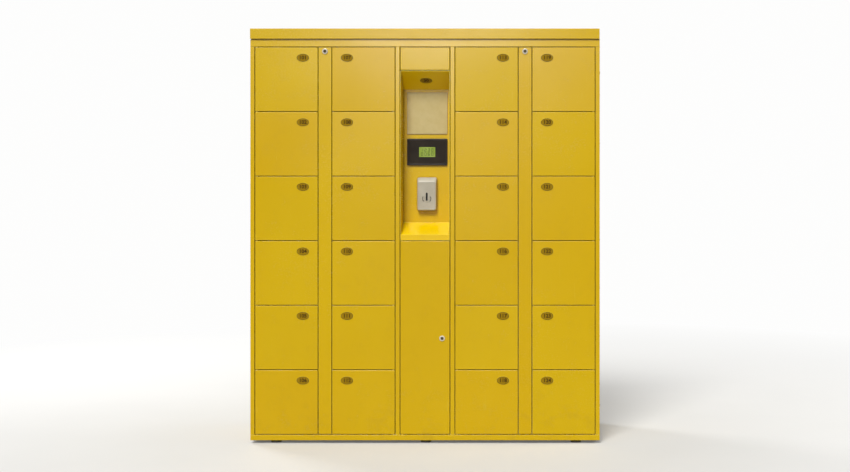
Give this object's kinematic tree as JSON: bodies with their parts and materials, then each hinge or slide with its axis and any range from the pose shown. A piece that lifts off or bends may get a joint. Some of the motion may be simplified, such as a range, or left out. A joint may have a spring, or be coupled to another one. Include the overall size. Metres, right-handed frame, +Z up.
{
  "type": "coin operated locker bank",
  "caption": "Bank of steel luggage compartments with hinged doors around a recessed coin payment column, with lock pillars and a service door.",
  "frame": {"origin": "on the floor, at the centre of the footprint", "axes": "+Z up, the doors face -Y, +X to the right of a customer who faces the doors"},
  "size_m": [1.624, 0.508, 1.928],
  "materials": {
    "yellow_enamel": "semi-gloss",
    "inner_enamel": "satin",
    "zinc_steel": "satin",
    "rubber": "matte",
    "cable_sheath": "matte",
    "chrome": "polished",
    "key_steel": "satin",
    "notice_beige": "matte",
    "bezel_black": "satin",
    "screen_green": "gloss",
    "housing_grey": "satin",
    "cash_box_enamel": "satin"
  },
  "bodies": {
    "cabinet": {"front_frame": "yellow_enamel", "side_panels": "yellow_enamel", "top_panel": "yellow_enamel", "back_panels": "yellow_enamel", "base_frame": "inner_enamel", "levelling_feet": "zinc_steel", "inner_panels": "inner_enamel", "compartment_shelves": "inner_enamel", "door_frames": "yellow_enamel", "hinge_rods": "zinc_steel", "door_buffers": "rubber", "electric_locks": "zinc_steel", "top_fascia": "yellow_enamel", "header_panel": "yellow_enamel", "alcove_surround": "yellow_enamel", "alcove_back_panel": "yellow_enamel", "notice_board": "notice_beige", "display_bezel": "bezel_black", "display_screen": "screen_green", "coin_unit_housing": "housing_grey", "coin_slot_insert": "bezel_black", "coin_validator": "bezel_black", "coin_chute": "zinc_steel", "control_box": "housing_grey", "power_supply": "zinc_steel", "cable_loom": "cable_sheath"},
    "door_01": {"door_01": "yellow_enamel"},
    "door_02": {"door_02": "yellow_enamel"},
    "door_03": {"door_03": "yellow_enamel"},
    "door_04": {"door_04": "yellow_enamel"},
    "door_05": {"door_05": "yellow_enamel"},
    "door_06": {"door_06": "yellow_enamel"},
    "door_07": {"door_07": "yellow_enamel"},
    "door_08": {"door_08": "yellow_enamel"},
    "door_09": {"door_09": "yellow_enamel"},
    "door_10": {"door_10": "yellow_enamel"},
    "door_11": {"door_11": "yellow_enamel"},
    "door_12": {"door_12": "yellow_enamel"},
    "door_13": {"door_13": "yellow_enamel"},
    "door_14": {"door_14": "yellow_enamel"},
    "door_15": {"door_15": "yellow_enamel"},
    "door_16": {"door_16": "yellow_enamel"},
    "door_17": {"door_17": "yellow_enamel"},
    "door_18": {"door_18": "yellow_enamel"},
    "door_19": {"door_19": "yellow_enamel"},
    "door_20": {"door_20": "yellow_enamel"},
    "door_21": {"door_21": "yellow_enamel"},
    "door_22": {"door_22": "yellow_enamel"},
    "door_23": {"door_23": "yellow_enamel"},
    "door_24": {"door_24": "yellow_enamel"},
    "pillar_cover_left": {"pillar_cover_left": "yellow_enamel", "pillar_left_lock": "chrome"},
    "pillar_left_key": {"pillar_left_plug": "key_steel"},
    "pillar_cover_right": {"pillar_cover_right": "yellow_enamel", "pillar_right_lock": "chrome"},
    "pillar_right_key": {"pillar_right_plug": "key_steel"},
    "service_door": {"service_door": "yellow_enamel", "service_lock": "chrome"},
    "service_key": {"service_plug": "key_steel"},
    "cash_box": {"cash_box": "cash_box_enamel"}
  },
  "joints": [
    {"name": "cover_left_tilt", "type": "hinge", "parent": "cabinet", "child": "pillar_cover_left", "pos_m": [-0.465, -0.2405, 0.0515], "axis": [1, 0, 0], "range_deg": [0, 20]},
    {"name": "key_left_turn", "type": "hinge", "parent": "pillar_cover_left", "child": "pillar_left_key", "pos_m": [-0.465, -0.24, 1.8225], "axis": [0, -1, 0], "range_deg": [0, 90]},
    {"name": "cover_right_tilt", "type": "hinge", "parent": "cabinet", "child": "pillar_cover_right", "pos_m": [0.465, -0.2405, 0.0515], "axis": [1, 0, 0], "range_deg": [0, 20]},
    {"name": "key_right_turn", "type": "hinge", "parent": "pillar_cover_right", "child": "pillar_right_key", "pos_m": [0.465, -0.24, 1.8225], "axis": [0, -1, 0], "range_deg": [0, 90]},
    {"name": "column_service_door_hinge", "type": "hinge", "parent": "cabinet", "child": "service_door", "pos_m": [-0.1065, -0.241, 0.492], "axis": [0, 0, -1], "range_deg": [0, 90]},
    {"name": "key_service_turn", "type": "hinge", "parent": "service_door", "child": "service_key", "pos_m": [0.0795, -0.24, 0.4885], "axis": [0, -1, 0], "range_deg": [0, 90]},
    {"name": "cash_box_slide", "type": "slide", "parent": "cabinet", "child": "cash_box", "axis": [0, -1, 0], "range_m": [0, 0.07]},
    {"name": "door_01_hinge", "type": "hinge", "parent": "cabinet", "child": "door_01", "pos_m": [-0.7815, -0.241, 1.692], "axis": [0, 0, -1], "range_deg": [0, 90]},
    {"name": "door_02_hinge", "type": "hinge", "parent": "cabinet", "child": "door_02", "pos_m": [-0.7815, -0.241, 1.392], "axis": [0, 0, -1], "range_deg": [0, 90]},
    {"name": "door_03_hinge", "type": "hinge", "parent": "cabinet", "child": "door_03", "pos_m": [-0.7815, -0.241, 1.092], "axis": [0, 0, -1], "range_deg": [0, 90]},
    {"name": "door_04_hinge", "type": "hinge", "parent": "cabinet", "child": "door_04", "pos_m": [-0.7815, -0.241, 0.792], "axis": [0, 0, -1], "range_deg": [0, 90]},
    {"name": "door_05_hinge", "type": "hinge", "parent": "cabinet", "child": "door_05", "pos_m": [-0.7815, -0.241, 0.492], "axis": [0, 0, -1], "range_deg": [0, 90]},
    {"name": "door_06_hinge", "type": "hinge", "parent": "cabinet", "child": "door_06", "pos_m": [-0.7815, -0.241, 0.192], "axis": [0, 0, -1], "range_deg": [0, 90]},
    {"name": "door_07_hinge", "type": "hinge", "parent": "cabinet", "child": "door_07", "pos_m": [-0.1485, -0.241, 1.692], "axis": [0, 0, 1], "range_deg": [0, 90]},
    {"name": "door_08_hinge", "type": "hinge", "parent": "cabinet", "child": "door_08", "pos_m": [-0.1485, -0.241, 1.392], "axis": [0, 0, 1], "range_deg": [0, 90]},
    {"name": "door_09_hinge", "type": "hinge", "parent": "cabinet", "child": "door_09", "pos_m": [-0.1485, -0.241, 1.092], "axis": [0, 0, 1], "range_deg": [0, 90]},
    {"name": "door_10_hinge", "type": "hinge", "parent": "cabinet", "child": "door_10", "pos_m": [-0.1485, -0.241, 0.792], "axis": [0, 0, 1], "range_deg": [0, 90]},
    {"name": "door_11_hinge", "type": "hinge", "parent": "cabinet", "child": "door_11", "pos_m": [-0.1485, -0.241, 0.492], "axis": [0, 0, 1], "range_deg": [0, 90]},
    {"name": "door_12_hinge", "type": "hinge", "parent": "cabinet", "child": "door_12", "pos_m": [-0.1485, -0.241, 0.192], "axis": [0, 0, 1], "range_deg": [0, 90]},
    {"name": "door_13_hinge", "type": "hinge", "parent": "cabinet", "child": "door_13", "pos_m": [0.1485, -0.241, 1.692], "axis": [0, 0, -1], "range_deg": [0, 90]},
    {"name": "door_14_hinge", "type": "hinge", "parent": "cabinet", "child": "door_14", "pos_m": [0.1485, -0.241, 1.392], "axis": [0, 0, -1], "range_deg": [0, 90]},
    {"name": "door_15_hinge", "type": "hinge", "parent": "cabinet", "child": "door_15", "pos_m": [0.1485, -0.241, 1.092], "axis": [0, 0, -1], "range_deg": [0, 90]},
    {"name": "door_16_hinge", "type": "hinge", "parent": "cabinet", "child": "door_16", "pos_m": [0.1485, -0.241, 0.792], "axis": [0, 0, -1], "range_deg": [0, 90]},
    {"name": "door_17_hinge", "type": "hinge", "parent": "cabinet", "child": "door_17", "pos_m": [0.1485, -0.241, 0.492], "axis": [0, 0, -1], "range_deg": [0, 90]},
    {"name": "door_18_hinge", "type": "hinge", "parent": "cabinet", "child": "door_18", "pos_m": [0.1485, -0.241, 0.192], "axis": [0, 0, -1], "range_deg": [0, 90]},
    {"name": "door_19_hinge", "type": "hinge", "parent": "cabinet", "child": "door_19", "pos_m": [0.7815, -0.241, 1.692], "axis": [0, 0, 1], "range_deg": [0, 90]},
    {"name": "door_20_hinge", "type": "hinge", "parent": "cabinet", "child": "door_20", "pos_m": [0.7815, -0.241, 1.392], "axis": [0, 0, 1], "range_deg": [0, 90]},
    {"name": "door_21_hinge", "type": "hinge", "parent": "cabinet", "child": "door_21", "pos_m": [0.7815, -0.241, 1.092], "axis": [0, 0, 1], "range_deg": [0, 90]},
    {"name": "door_22_hinge", "type": "hinge", "parent": "cabinet", "child": "door_22", "pos_m": [0.7815, -0.241, 0.792], "axis": [0, 0, 1], "range_deg": [0, 90]},
    {"name": "door_23_hinge", "type": "hinge", "parent": "cabinet", "child": "door_23", "pos_m": [0.7815, -0.241, 0.492], "axis": [0, 0, 1], "range_deg": [0, 90]},
    {"name": "door_24_hinge", "type": "hinge", "parent": "cabinet", "child": "door_24", "pos_m": [0.7815, -0.241, 0.192], "axis": [0, 0, 1], "range_deg": [0, 90]}
  ]
}
